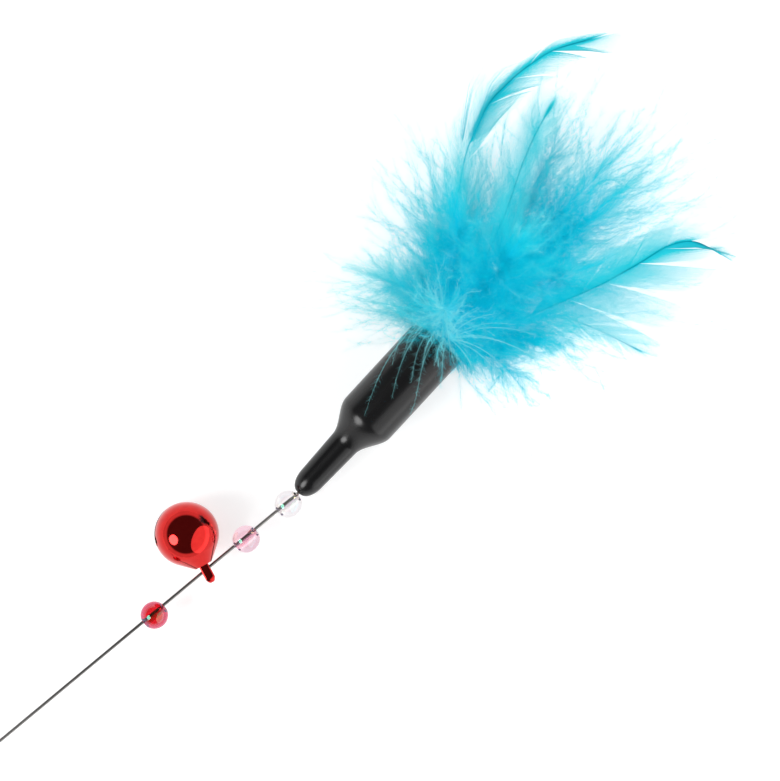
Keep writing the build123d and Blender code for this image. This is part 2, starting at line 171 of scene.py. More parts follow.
def mottle(tree, scale, detail=3.0, stretch=(1, 1, 1)):
    """Noise in the object's own coordinates, stretched along its axes; returns the group's value."""
    node = tree.nodes.new("ShaderNodeGroup")
    node.node_tree = MOTTLE
    node.inputs["Scale"].default_value = scale
    node.inputs["Detail"].default_value = detail
    node.inputs["Stretch"].default_value = stretch
    return node.outputs["Mottle"]


def ramp(tree, value, low, high, stops=(0.3, 0.7)):
    """Colour that runs from low to high as the value passes between the two stops."""
    node = tree.nodes.new("ShaderNodeValToRGB")
    node.color_ramp.elements[0].position, node.color_ramp.elements[1].position = stops
    node.color_ramp.elements[0].color = (*low, 1.0)
    node.color_ramp.elements[1].color = (*high, 1.0)
    tree.links.new(value, node.inputs["Fac"])
    return node.outputs["Color"]


def value_range(tree, value, low, high):
    """Value from 0 to 1 spread between low and high."""
    node = tree.nodes.new("ShaderNodeMapRange")
    node.inputs["To Min"].default_value = low
    node.inputs["To Max"].default_value = high
    tree.links.new(value, node.inputs["Value"])
    return node.outputs["Result"]


def paint(tree, shader, value, low, high):
    """Base colour that runs from low to high with the value."""
    tree.links.new(ramp(tree, value, low, high), shader.inputs["Base Color"])


def roughen(tree, shader, value, low, high):
    """Roughness that runs from low to high with the value."""
    tree.links.new(value_range(tree, value, low, high), shader.inputs["Roughness"])


def bump(tree, shader, value, strength, distance):
    """Bump from a value, on the shader's normal."""
    node = tree.nodes.new("ShaderNodeBump")
    node.inputs["Strength"].default_value = strength
    node.inputs["Distance"].default_value = distance
    tree.links.new(value, node.inputs["Height"])
    tree.links.new(node.outputs["Normal"], shader.inputs["Normal"])


steel, tree, shader = new_material("drawn_steel", Metallic=1.0)
streaks = mottle(tree, scale=900.0, detail=4.0, stretch=(0.04, 1, 1))
paint(tree, shader, streaks, low=(0.16, 0.155, 0.15), high=(0.34, 0.33, 0.32))
roughen(tree, shader, streaks, low=0.28, high=0.46)
bump(tree, shader, streaks, strength=0.15, distance=0.00002)
bend_way = unit(FORWARD - ALONG_WIRE * FORWARD[0])
bend_turn = np.linspace(0, math.acos(FORWARD[0]), BEND_STEPS)[:, None]
straight = np.linspace(-WIRE_BACK, WIRE_NOSE_STRAIGHT, STRAIGHT_STEPS)[:, None] * MM * ALONG_WIRE
bend = np.sin(bend_turn) * ALONG_WIRE + (1 - np.cos(bend_turn)) * bend_way
bend = straight[-1] + WIRE_BEND_RADIUS * MM * bend
inner = bend[-1] + np.linspace(0, WIRE_INNER_LENGTH, INNER_STEPS)[1:, None] * MM * FORWARD
points, faces = tube(NOSE + np.concatenate([straight, bend[1:], inner]), WIRE_RADIUS * MM, WIRE_SIDES)
add_piece("wire", points, faces, steel, "wand", ["wand_wire"])


# Grip core: moulded plastic dowel with a collar and a tapered nose, drilled for the wire.
# Its dowel is glued in the sleeve; only the collar and the nose show.
def dress(node, material):
    """Puts a material on a CAD node that shows as it is."""
    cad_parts[node].data.materials.clear()
    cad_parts[node].data.materials.append(material)


core_plastic, tree, shader = new_material("core_plastic", Roughness=0.34, Specular_IOR_Level=0.5)
grain = mottle(tree, scale=1400.0, detail=4.0)
paint(tree, shader, grain, low=(0.010, 0.010, 0.011), high=(0.022, 0.022, 0.024))
bump(tree, shader, grain, strength=0.12, distance=0.00003)
dress("grip_core", core_plastic)

# Grip sleeve: dip-moulded black vinyl with a domed butt, pushed over the core.
# The surface is glossy with faint runs along its length, left by the dipping.
black_vinyl, tree, shader = new_material(
    "black_vinyl", Specular_IOR_Level=0.38, Coat_Weight=0.08, Coat_Roughness=0.18
)
runs = mottle(tree, scale=160.0, detail=3.0, stretch=(0.25, 1, 1))
paint(tree, shader, runs, low=(0.003, 0.003, 0.0035), high=(0.006, 0.006, 0.0065))
roughen(tree, shader, runs, low=0.22, high=0.32)
bump(tree, shader, mottle(tree, scale=260.0, detail=2.0), strength=0.05, distance=0.0002)
dress("grip_sleeve", black_vinyl)

# Beads: pressed transparent acrylic balls with a wide hole and a thin iridescent coat.
# They are loose on the wire and hang a little off its middle.
# Rows: name, body, slot, distance behind the cap's nose, and tint.
BEADS = (
    ("red_bead", "red_bead_body", "red_acrylic", 41.0, (0.62, 0.006, 0.016)),
    ("pink_bead", "pink_bead_body", "pink_acrylic", 15.2, (0.93, 0.66, 0.73)),
    ("clear_bead", "clear_bead_body", "clear_acrylic", 3.3, (0.88, 0.87, 0.86)),
)
BEAD_RADIUS = 3.0
BEAD_HOLE_RADIUS = 0.85
BEAD_HOLE_EDGE_RADIUS = 1.0
BEAD_HOLE_HALF_LENGTH = 2.72
BEAD_HANG = 0.47
BEAD_HANG_TURN = math.radians(205.0)
BEAD_RINGS = 64
BEAD_HOLE_RINGS = 12
BEAD_SIDES = 96


def lathe(profile, centre, axis, sides):
    """Surface of revolution: a closed loop of (radius, distance along the axis) turned round the axis."""
    axis = unit(axis)
    across = unit(np.cross(axis, SKYWARD))
    over = np.cross(axis, across)
    turn = np.linspace(0, 2 * np.pi, sides, endpoint=False)
    ring = np.cos(turn)[:, None] * across + np.sin(turn)[:, None] * over
    points = centre + profile[:, None, :1] * ring[None] + profile[:, None, 1:] * axis
    faces = grid_faces(len(profile) + 1, sides, wrap=True) % (len(profile) * sides)
    return points.reshape(-1, 3), faces


def outward(points, faces):
    """Quads of a closed mesh turned so that their normals point out: its signed volume is positive."""
    a, b, c, d = (points[faces[:, i]] for i in range(4))
    volume = np.einsum("ij,ij->", a, np.cross(b, c)) + np.einsum("ij,ij->", a, np.cross(c, d))
    return faces if volume > 0 else faces[:, ::-1]


hole_edge = math.asin(BEAD_HOLE_EDGE_RADIUS / BEAD_RADIUS)
sweep_out = np.linspace(hole_edge, np.pi - hole_edge, BEAD_RINGS)
outer_wall = np.stack([BEAD_RADIUS * np.sin(sweep_out), -BEAD_RADIUS * np.cos(sweep_out)], axis=-1)
hole_run = np.linspace(BEAD_HOLE_HALF_LENGTH, -BEAD_HOLE_HALF_LENGTH, BEAD_HOLE_RINGS)
hole_wall = np.stack([np.full(BEAD_HOLE_RINGS, BEAD_HOLE_RADIUS), hole_run], axis=-1)
hang_left = BEAD_HANG * math.cos(BEAD_HANG_TURN)
hang_up = BEAD_HANG * math.sin(BEAD_HANG_TURN)
for name, body, slot, from_nose, tint in BEADS:
    acrylic, tree, shader = new_material(
        name + "_acrylic", Base_Color=(*tint, 1.0), IOR=1.49, Transmission_Weight=1.0, Coat_Weight=0.3,
        Coat_Roughness=0.03, Thin_Film_Thickness=385.0, Thin_Film_IOR=1.7,
    )
    swirl = mottle(tree, scale=420.0, detail=2.0)
    roughen(tree, shader, swirl, low=0.0, high=0.06)
    bump(tree, shader, swirl, strength=0.05, distance=0.0001)
    centre = NOSE + np.array([-from_nose, hang_left, hang_up]) * MM
    points, faces = lathe(np.concatenate([outer_wall, hole_wall]) * MM, centre, ALONG_WIRE, BEAD_SIDES)
    add_piece(name + "_ball", points, outward(points, faces), acrylic, body, [name])

# Bell: red lacquered metal pressed to a ball with a drawn neck that ends at the loop.
# The lacquer is mirror bright, so it is the lights and the table that give the ball its look.
BELL_RADIUS = 7.0
BELL_WALL = 0.35
BELL_FROM_NOSE = 26.1
BELL_LEAD = 1.75
BELL_OFFSET = 8.6
BELL_RISE = 0.25
NECK_RADIUS = 2.0
NECK_HEIGHT = 7.7
BELL_RINGS = 90
NECK_RINGS = 12
BELL_SIDES = 160
POLE = 1e-4
CROSSING = NOSE + np.array([-BELL_FROM_NOSE, 0, 0]) * MM
BELL_CENTRE = CROSSING + np.array([BELL_LEAD, BELL_OFFSET, BELL_RISE]) * MM
LOOP_WAY = unit(np.array([-BELL_LEAD, -BELL_OFFSET, 0.0]))
LOOP_SIDE = np.cross(LOOP_WAY, SKYWARD)


def bell_profile(radius, neck):
    """Half outline of the bell: a ball from its pole to the tangent that runs straight to the neck."""
    reach = math.hypot(neck, NECK_HEIGHT)
    touch = math.pi - math.atan2(neck, NECK_HEIGHT) - math.acos(radius / reach)
    sweep_out = np.linspace(POLE, touch, BELL_RINGS)
    ball = np.stack([radius * np.sin(sweep_out), -radius * np.cos(sweep_out)], axis=-1)
    slope = np.linspace(0, 1, NECK_RINGS)[1:, None]
    return np.concatenate([ball, ball[-1] + (np.array([neck, NECK_HEIGHT]) - ball[-1]) * slope])


red_metal, tree, shader = new_material("red_metal", Metallic=1.0, Coat_Weight=0.25, Coat_Roughness=0.05)
clouds = mottle(tree, scale=700.0, detail=3.0)
paint(tree, shader, clouds, low=(0.54, 0.011, 0.010), high=(0.62, 0.017, 0.013))
roughen(tree, shader, clouds, low=0.05, high=0.11)
bump(tree, shader, mottle(tree, scale=90.0, detail=2.0), strength=0.04, distance=0.0006)
inside_wall = bell_profile(BELL_RADIUS - BELL_WALL, NECK_RADIUS - BELL_WALL)[::-1]
shell = np.concatenate([bell_profile(BELL_RADIUS, NECK_RADIUS), inside_wall])
points, faces = lathe(shell * MM, BELL_CENTRE, LOOP_WAY, BELL_SIDES)
bell = add_piece("bell_ball", points, outward(points, faces), red_metal, "bell", ["bell_shell"])

# Slit in the bell: a straight cut across the pole between two drilled holes, which lets the sound out.
# It is cut out of the shell by a box and two rods, one after the other.
SLIT_TURN = math.radians(-12.0)
SLIT_END = math.radians(75.0)
SLIT_HALF_WIDTH = 0.55
SLIT_HOLE_RADIUS = 1.2
HOLE_CUT_FROM = 3.0
HOLE_CUT_TO = 9.0
HOLE_CUT_SIDES = 32
ROD_MIDDLE = 1e-5
SHARP_EDGE = math.radians(35.0)
BOX_FACES = np.array([[0, 1, 3, 2], [4, 6, 7, 5], [0, 4, 5, 1], [2, 3, 7, 6], [0, 2, 6, 4], [1, 5, 7, 3]])
slit_across = LOOP_SIDE * math.cos(SLIT_TURN) + np.cross(LOOP_WAY, LOOP_SIDE) * math.sin(SLIT_TURN)
slit_thick = np.cross(LOOP_WAY, slit_across)
corners = np.array([(x, y, z) for x in (-1, 1) for y in (-1, 1) for z in (0, 1)], dtype=float)
box = (
    BELL_CENTRE
    + corners[:, :1] * BELL_RADIUS * math.sin(SLIT_END) * MM * slit_across
    + corners[:, 1:2] * SLIT_HALF_WIDTH * MM * slit_thick
    - (BELL_RADIUS * math.cos(SLIT_END) + corners[:, 2:] * BELL_RADIUS) * MM * LOOP_WAY
)
cutters = [(box, outward(box, BOX_FACES))]
rod = np.array([
    (ROD_MIDDLE, HOLE_CUT_FROM), (SLIT_HOLE_RADIUS, HOLE_CUT_FROM),
    (SLIT_HOLE_RADIUS, HOLE_CUT_TO), (ROD_MIDDLE, HOLE_CUT_TO),
])
for way in (-1, 1):
    hole_way = slit_across * way * math.sin(SLIT_END) - LOOP_WAY * math.cos(SLIT_END)
    rod_points, rod_faces = lathe(rod * MM, BELL_CENTRE, hole_way, HOLE_CUT_SIDES)
    cutters.append((rod_points, outward(rod_points, rod_faces)))
for cut_points, cut_faces in cutters:
    cut_mesh = bpy.data.meshes.new("slit_cut")
    cut_mesh.from_pydata(cut_points.tolist(), [], cut_faces.tolist())
    cutter = bpy.data.objects.new("slit_cut", cut_mesh)
    bpy.context.scene.collection.objects.link(cutter)
    saw = bell.modifiers.new("slit", "BOOLEAN")
    saw.operation = "DIFFERENCE"
    saw.object = cutter
    saw.solver = "EXACT"
    bpy.context.view_layer.update()
    cut_shell = bpy.data.meshes.new_from_object(bell.evaluated_get(bpy.context.evaluated_depsgraph_get()))
    bell.modifiers.clear()
    bell.data = cut_shell
    bpy.data.objects.remove(cutter)
bell.data.set_sharp_from_angle(angle=SHARP_EDGE)

# Bell loop: a bent strip of the same metal, narrower round its bow, with the wire through it.
# Its two legs are pinched in the neck of the bell.
LOOP_TIP_HEIGHT = 11.8
LOOP_BOW_RADIUS = 1.1
LOOP_TIP_ROOM = 0.15
LOOP_FOOT = 6.5
LOOP_HALF_WIDTH = 1.0
LOOP_HALF_THICKNESS = 0.2
LOOP_SQUARENESS = 0.7
LOOP_BOW_NARROWING = 0.4
BOW_STEPS = 33
LEG_STEPS = 11
SECTION_STEPS = 24


def bent_strip(path, across, over, section):
    """Section of (across, over) offsets carried along a path, with closed ends."""
    points = path[:, None] + section[None, :, :1] * across[:, None] + section[None, :, 1:] * over[:, None]
    rows, count = len(path), len(section)
    return points.reshape(-1, 3), [grid_faces(rows, count, wrap=True)] + end_caps(rows, count)


bow = np.linspace(0, np.pi, BOW_STEPS)
bow_level = LOOP_TIP_HEIGHT - LOOP_BOW_RADIUS - LOOP_TIP_ROOM
bow_path = np.stack([LOOP_BOW_RADIUS * np.cos(bow), bow_level + LOOP_BOW_RADIUS * np.sin(bow)], axis=-1)
leg_run = np.linspace(LOOP_FOOT, bow_level, LEG_STEPS + 1)[:-1]
leg = np.stack([np.full(LEG_STEPS, LOOP_BOW_RADIUS), leg_run], axis=-1)
flat_path = np.concatenate([leg, bow_path, leg[::-1] * (-1, 1)])
path = BELL_CENTRE + (flat_path[:, :1] * SKYWARD + flat_path[:, 1:] * LOOP_WAY) * MM
across = np.broadcast_to(LOOP_SIDE, path.shape)
over = np.cross(unit(np.gradient(path, axis=0)), across)
corner = np.linspace(0, 2 * np.pi, SECTION_STEPS, endpoint=False)
flat_side = np.sign(np.cos(corner)) * np.abs(np.cos(corner)) ** LOOP_SQUARENESS * LOOP_HALF_WIDTH
section = np.stack([flat_side, np.sin(corner) * LOOP_HALF_THICKNESS], axis=-1)
up_bow = np.clip((flat_path[:, 1] - bow_level) / LOOP_BOW_RADIUS, 0.0, 1.0)
taper = 1.0 - LOOP_BOW_NARROWING * up_bow**2
points, faces = bent_strip(path, across * taper[:, None], over, section * MM)
add_piece("bell_loop_strip", points, faces, red_metal, "bell", ["bell_loop"])

# Pellet: a loose, scuffed steel ball in the bell, which makes it ring.
# Nothing fixes it, and it is seen only through the slit.
pellet_steel, tree, shader = new_material("pellet_steel", Metallic=1.0)
scuffs = mottle(tree, scale=800.0, detail=4.0)
paint(tree, shader, scuffs, low=(0.34, 0.33, 0.32), high=(0.58, 0.57, 0.56))
roughen(tree, shader, scuffs, low=0.2, high=0.45)
dress("bell_pellet", pellet_steel)

# Cap: dip-moulded black vinyl, a rounded nose on a slim neck that swells to the barrel.
# The wire goes in at the nose; the barrel's open mouth holds the glued quills.
CAP_LENGTH = 45.5
CAP_NOSE_FLAT_RADIUS = 0.6
CAP_NOSE_RADIUS = 2.95
CAP_NOSE_LENGTH = 4.3
CAP_NECK_RADIUS = 3.3
CAP_NECK_LENGTH = 14.5
CAP_SHOULDER_LENGTH = 7.8
CAP_BARREL_RADIUS = 6.5
CAP_BARREL_FROM = 22.8
CAP_BARREL_TO = 44.5
CAP_LIP_RADIUS = 0.6
CAP_INSIDE = np.array([(5.3, 36.0), (5.3, 22.3), (2.1, 14.5), (1.75, 2.5), (0.4, 2.5), (0.4, 0.0)])
CAP_SIDES = 128
CAP_SHARP_EDGE = math.radians(50.0)
NOSE_STEPS = 24
NECK_STEPS = 12
SHOULDER_STEPS = 30
BARREL_STEPS = 10
LIP_STEPS = 16
nose_turn = np.linspace(0, np.pi / 2, NOSE_STEPS)
nose_radius = CAP_NOSE_FLAT_RADIUS + (CAP_NOSE_RADIUS - CAP_NOSE_FLAT_RADIUS) * np.sin(nose_turn)
nose = np.stack([nose_radius, CAP_NOSE_LENGTH - CAP_NOSE_LENGTH * np.cos(nose_turn)], axis=-1)
neck_ends = (CAP_NOSE_LENGTH, CAP_NECK_LENGTH)
neck_run = np.linspace(*neck_ends, NECK_STEPS)[1:]
neck = np.stack([np.interp(neck_run, neck_ends, (CAP_NOSE_RADIUS, CAP_NECK_RADIUS)), neck_run], axis=-1)
rise = np.linspace(0, 1, SHOULDER_STEPS)[1:]
shoulder_radius = CAP_NECK_RADIUS + (CAP_BARREL_RADIUS - CAP_NECK_RADIUS) * (3 * rise**2 - 2 * rise**3)
shoulder = np.stack([shoulder_radius, CAP_NECK_LENGTH + CAP_SHOULDER_LENGTH * rise], axis=-1)
barrel_run = np.linspace(CAP_BARREL_FROM, CAP_BARREL_TO, BARREL_STEPS)
barrel = np.stack([np.full(BARREL_STEPS, CAP_BARREL_RADIUS), barrel_run], axis=-1)
lip_turn = np.linspace(0, np.pi, LIP_STEPS)
lip = np.stack([np.cos(lip_turn) - 1, np.sin(lip_turn) - 1], axis=-1) * CAP_LIP_RADIUS
lip = lip + np.array([CAP_BARREL_RADIUS, CAP_LENGTH])
cap_profile = np.concatenate([nose, neck, shoulder, barrel, lip, CAP_INSIDE])
points, faces = lathe(cap_profile * MM, NOSE, FORWARD, CAP_SIDES)
faces = outward(points, faces)
cap = add_piece("cap_shell", points, faces, black_vinyl, "wand", ["feather_cap"])
cap.data.set_sharp_from_angle(angle=CAP_SHARP_EDGE)

# Glue plug and quill binding: set hot glue around the quills, and the thread wrapped round them.
# Both are deep in the cap and hardly show.
set_glue, tree, shader = new_material("set_glue", Roughness=0.3, Transmission_Weight=0.2)
paint(tree, shader, mottle(tree, scale=300.0), low=(0.55, 0.46, 0.28), high=(0.78, 0.70, 0.52))
dress("glue_plug", set_glue)
wrapped_thread, tree, shader = new_material("wrapped_thread", Roughness=0.8)
lay = mottle(tree, scale=2500.0, detail=2.0, stretch=(1, 0.15, 0.15))
paint(tree, shader, lay, low=(0.015, 0.015, 0.017), high=(0.06, 0.06, 0.065))
bump(tree, shader, lay, strength=0.5, distance=0.0002)
dress("quill_binding", wrapped_thread)

# Marabou plumes: dyed down, each a soft shaft with long limp barbs, and every barb is furred with
# fine barbules. The quills are glued in the cap and the plumes fan out from its mouth.
PLUME_LENGTH = 64.0
# Shafts: their shares of a plume, and of its turn and lift at their root and tip.
LONG_SHAFT_SHARE = 0.82
COLLAR_SHAFT_SHARE = 0.62
COLLAR_BELOW = 0.45
HEADINGS = (0.5, 1.5)
SHAFT_WIDTHS = (0.16, 0.02)
SHAFT_TONES = (0.1, 0.3)
PLUME_SEED = 100
# Rows: name, turn, lift and share of the full length, then the number of barbs, their length, how
# much longer they are on the left than on the right, and the number and length of the short barbs.
MARABOU = (
    ("left_marabou", 42.0, -1.0, 0.54, 84, 20.0, 0.2, 120, 8.0),
    ("high_left_marabou", 32.0, 30.0, 0.68, 230, 25.0, 0.10, 140, 9.0),
    ("low_left_marabou", 31.0, -16.0, 0.64, 190, 25.0, 0.10, 140, 9.0),
    ("top_marabou", 3.0, 42.0, 0.80, 240, 27.0, 0.0, 190, 10.0),
    ("high_right_marabou", -19.0, 26.0, 0.84, 150, 29.0, -0.3, 110, 10.0),
    ("right_marabou", -46.0, 23.0, 0.52, 70, 16.0, 0.4, 64, 7.0),
    ("centre_marabou", -1.0, 2.0, 1.00, 290, 28.0, -0.1, 290, 11.0),
    ("under_left_marabou", 11.0, -7.0, 0.93, 290, 28.0, 0.15, 290, 11.0),
    ("under_right_marabou", -8.0, -14.0, 0.93, 210, 30.0, -0.3, 190, 11.0),
    ("low_right_marabou", -43.0, -3.0, 0.52, 44, 15.0, 0.3, 44, 7.0),
    ("front_marabou", -7.0, 9.0, 1.00, 230, 30.0, -0.2, 240, 11.0),
    ("left_collar_marabou", 92.0, 2.0, 0.42, 110, 19.0, 0.4, 70, 9.0),
    ("right_collar_marabou", -72.0, 10.0, 0.40, 36, 13.0, 0.2, 36, 7.0),
    ("top_collar_marabou", 23.0, 60.0, 0.38, 64, 21.0, 0.1, 50, 12.0),
)
FADED_PLUME = "left_collar_marabou"
PALE_PLUME = "top_collar_marabou"
# Kinds of fur on a barb: half width of the barb, number of hairs, their length and half width, how far
# they lie over towards the tip, how much they crowd to the root, and how much they fade to the tip.
LONG_FUR = dict(strip=0.016, hairs=190, reach=4.6, hair=0.008, lie=(0.7, 2.4), bias=0.9, fade=1.0)
FLUFF_FUR = dict(strip=0.018, hairs=150, reach=2.6, hair=0.011, lie=(0.2, 1.3), bias=1.2, fade=0.3)
TUFT_FUR = dict(strip=0.075, hairs=90, reach=2.4, hair=0.020, lie=(0.5, 1.8), bias=1.0, fade=0.4)
DRAPE_FUR = dict(strip=0.055, hairs=170, reach=2.2, hair=0.013, lie=(0.1, 1.1), bias=1.6, fade=0.3)
STRAY_FUR = dict(strip=0.11, hairs=80, reach=1.9, hair=0.018, lie=(0.8, 2.0), bias=1.2, fade=0.4)
HAIR_TAPER = 0.6
HAIR_SCATTER = (0.5, 1.25)
HAIR_TILT = 0.5
BARB_TILT = 0.4
BARB_TAPER = 0.8
BARB_TONE = 0.8
CURL_TURNS = (0.6, 1.5)
CURL_POWER = 1.5
# Long barbs: how they crowd to the root, least length and bulge along the shaft, scatter of the length,
# angle from the shaft at its tip and how much more at its root, scatter of the angle, how much of it is
# kept at the barb's own tip, how far they leave the vane, their curl, and tones.
LONG_CROWDING = 0.65
LONG_LEAST = 0.62
LONG_BULGE = 1.5
LONG_SCATTER = (0.35, 1.12)
LONG_ANGLE_TIP = 20
LONG_ANGLE_RISE = 75
LONG_ANGLE_POWER = 1.3
LONG_ANGLE_SCATTER = (14, 26)
LONG_ANGLE_KEPT = (-0.1, 1.1)
LONG_OUT = 0.65
LONG_WAVE = 0.10
LONG_TONE = (0.02, 0.28)
LONG_TIP_TONE = 0.3
LONG_TIP_POWER = 4
LONG_FADED_TONE = 0.45
LONG_PALE_TONE = (0.6, 0.9)
# Short barbs: where on the shaft they stand, and the same kinds of values; a few are pale flecks.
SHORT_PLACES = (0.02, 0.74)
SHORT_ANGLES = (25, 110)
SHORT_ANGLE_KEPT = (0.3, 1.4)
SHORT_SCATTER = (0.5, 1.1)
SHORT_OUT = 1.2
SHORT_WAVE = 0.1
SHORT_TONE = (0.0, 0.18)
FLECK_SHARE = 0.035
FLECK_TONE = 0.8
SHORT_FADED_TONE = 0.55
SHORT_PALE_TONE = (0.75, 1.1)
# Strands that hang back over the cap: angle round the cap, how far they drift round it, and length.
DRAPED = (
    (55.0, -48.0, 24.0), (37.0, -43.0, 17.0), (8.0, -70.0, 17.5), (-12.0, -50.0, 8.0), (64.0, -30.0, 12.0),
    (24.0, -38.0, 12.0), (48.0, -20.0, 9.0), (72.0, -18.0, 8.0), (40.0, -12.0, 7.0), (15.0, -25.0, 8.0),
    (-4.0, -20.0, 6.0), (86.0, -8.0, 10.0),
)
DRAPE_POWER = 1.8
DRAPE_RING = 7.0
DRAPE_BOW = 1.0
DRAPE_FROM = 1.5
DRAPE_TONE = 1.1
# Strands that rise over the plumes from the mouth: heading and length.
STRAYS = (
    (-4.0, 15.0), (-14.0, 19.0), (-22.0, 14.0), (-30.0, 20.0), (-42.0, 13.0),
    (-54.0, 15.0), (-70.0, 10.0), (12.0, 12.0), (30.0, 10.0), (48.0, 9.0),
)
STRAY_FROM = (2.0, -1.5, 7.0)
STRAY_BEND = 0.5
STRAY_RISE = 9.0
STRAY_ARCH = 0.6 * np.pi
STRAY_TONE = 1.0
# Place of the quills in the mouth, and the gap that keeps the barbs off the table.
QUILL_REACH = 4.2
QUILL_CENTRE = 6.0
QUILL_LIMIT = 72.0
QUILL_POWER = 0.62
TABLE_GAP = 0.15
MOUTH = NOSE + CAP_LENGTH * MM * FORWARD
FLOOR = cad_box[0][2]
# Dye of the two kinds of feather, and the shades that both share; the value that picks the shade is a
# fibre's own tone plus a share of the way along it.
FEATHER_DYES = (
    ("marabou_down", (0.0, 0.57, 0.72), (0.015, 0.66, 0.76)),
    ("hackle_vane", (0.0, 0.55, 0.68), (0.04, 0.65, 0.74)),
)
DYE_STOPS = (0.0, 0.18, 0.48, 0.78, 1.0)
DYE_SHADE = (0.002, 0.38, 0.49)
DYE_WORN = (0.14, 0.70, 0.77)
DYE_PALEST = (0.30, 0.79, 0.83)
FADE_ALONG = 0.5
SHINE_THROUGH = 0.5

FADE, given, result = new_group("fade", (("Along", "NodeSocketFloat"),), "Fade")
along = FADE.nodes.new("ShaderNodeAttribute")
along.attribute_name = "along"
tone = FADE.nodes.new("ShaderNodeAttribute")
tone.attribute_name = "tone"
blend = FADE.nodes.new("ShaderNodeMath")
blend.operation = "MULTIPLY_ADD"
FADE.links.new(along.outputs["Fac"], blend.inputs[0])
FADE.links.new(given.outputs["Along"], blend.inputs[1])
FADE.links.new(tone.outputs["Fac"], blend.inputs[2])
FADE.links.new(value_range(FADE, blend.outputs["Value"], 0.0, 1.0), result.inputs["Fade"])
FIBRE = {}
for key, deep, full_dye in FEATHER_DYES:
    fibre, tree, shader = new_material(key, Roughness=0.7, Specular_IOR_Level=0.04)
    fade = tree.nodes.new("ShaderNodeGroup")
    fade.node_tree = FADE
    fade.inputs["Along"].default_value = FADE_ALONG
    dye = tree.nodes.new("ShaderNodeValToRGB")
    shades = dye.color_ramp.elements
    for stop, colour in zip(DYE_STOPS, (DYE_SHADE, deep, full_dye, DYE_WORN, DYE_PALEST)):
        between = 0.0 < stop < 1.0
        shade = shades.new(stop) if between else shades[-1 if stop else 0]
        shade.color = (*colour, 1.0)
    tree.links.new(fade.outputs["Fade"], dye.inputs["Fac"])
    tree.links.new(dye.outputs["Color"], shader.inputs["Base Color"])
    through = tree.nodes.new("ShaderNodeBsdfTranslucent")
    tree.links.new(dye.outputs["Color"], through.inputs["Color"])
    mixed = tree.nodes.new("ShaderNodeMixShader")
    mixed.inputs["Fac"].default_value = SHINE_THROUGH
    tree.links.new(shader.outputs["BSDF"], mixed.inputs[1])
    tree.links.new(through.outputs["BSDF"], mixed.inputs[2])
    tree.links.new(mixed.outputs["Shader"], tree.nodes["Material Output"].inputs["Surface"])
    FIBRE[key] = fibre


def to_world(local):
    """Points in the head's own mm (ahead of the mouth, to the left, up) as points of the frame."""
    world = MOUTH + (local[..., :1] * FORWARD + local[..., 1:2] * LEFT + local[..., 2:] * UP) * MM
    world[..., 2] = np.maximum(world[..., 2], FLOOR + TABLE_GAP * MM)
    return world


def quill_spot(turn, lift):
    """Place of a quill in the mouth, left and up of its middle, for a feather of this turn and lift."""
    spread = math.hypot(turn, lift - QUILL_CENTRE)
    reach = QUILL_REACH * (min(spread, QUILL_LIMIT) / QUILL_LIMIT) ** QUILL_POWER
    angle = math.atan2(lift - QUILL_CENTRE, turn)
    return reach * math.cos(angle), reach * math.sin(angle)


def shaft_line(spot, turns, lifts, length, count=80):
    """Points, forward, side and normal directions along a shaft that fans out from the mouth.

    Its heading runs evenly from the first turn and lift to the last ones, and the points add up its steps.
    """
    turn = np.radians(np.linspace(*turns, count))
    lift = np.radians(np.linspace(*lifts, count))
    ahead = np.stack([np.cos(lift) * np.cos(turn), np.cos(lift) * np.sin(turn), np.sin(lift)], axis=-1)
    side = np.stack([-np.sin(turn), np.cos(turn), np.zeros(count)], axis=-1)
    steps = (ahead[1:] + ahead[:-1]) / 2 * length / (count - 1)
    points = np.concatenate([[[0.0, *spot]], [0.0, *spot] + np.cumsum(steps, axis=0)])
    return points, ahead, side, np.cross(ahead, side)


def sample(line, share):
    """Values of a line's rows at shares of its length."""
    place = np.clip(share, 0, 1) * (len(line) - 1)
    low = np.minimum(place.astype(int), len(line) - 2)
    return line[low] + (line[low + 1] - line[low]) * (place - low)[:, None]


def ribbons(paths, across, half_width):
    """Flat strips along paths of shape (strips, points, 3); returns their points and faces."""
    count, steps = paths.shape[:2]
    offset = across * half_width[..., None]
    points = np.stack([paths - offset, paths + offset], axis=2)
    one = grid_faces(steps, 2)
    faces = (one[None] + (np.arange(count) * steps * 2)[:, None, None]).reshape(-1, 4)
    return points.reshape(-1, 3), faces


def barb_paths(rng, shaft, share, side, length, sweep, out_angle, wave, steps=10):
    """Curved barbs that leave a shaft at shares of its length, to the side given by +1 or -1.

    Each heads off at an angle from the shaft that runs from the first to the second sweep, leaves the
    vane by the out_angle, adds up its steps, and curls as a sine that grows to its tip.
    """
    base, ahead, left, normal = (sample(line, share) for line in shaft)
    t = np.linspace(0, 1, steps)
    angle = sweep[0][:, None] + (sweep[1] - sweep[0])[:, None] * t
    out = left * (side * np.cos(out_angle))[:, None] + normal * np.sin(out_angle)[:, None]
    way = np.cos(angle)[..., None] * ahead[:, None] + np.sin(angle)[..., None] * out[:, None]
    start = np.zeros((len(share), 1, 3))
    run = np.concatenate([start, np.cumsum((way[:, 1:] + way[:, :-1]) / 2, axis=1)], axis=1)
    paths = base[:, None] + run * (length / (steps - 1))[:, None, None]
    phase = rng.uniform(0, 2 * np.pi, (len(share), 1))
    pitch = rng.uniform(*CURL_TURNS, (len(share), 1))
    curl = wave * length[:, None] * t**CURL_POWER * np.sin(2 * np.pi * pitch * t + phase)
    return paths + curl[..., None] * np.cross(way, out[:, None])


def facing_up(rng, shape, scatter):
    """Directions up in the head's frame, each turned aside at random by about the scatter."""
    return unit(SKYWARD + rng.normal(size=(*shape, 3)) * scatter)


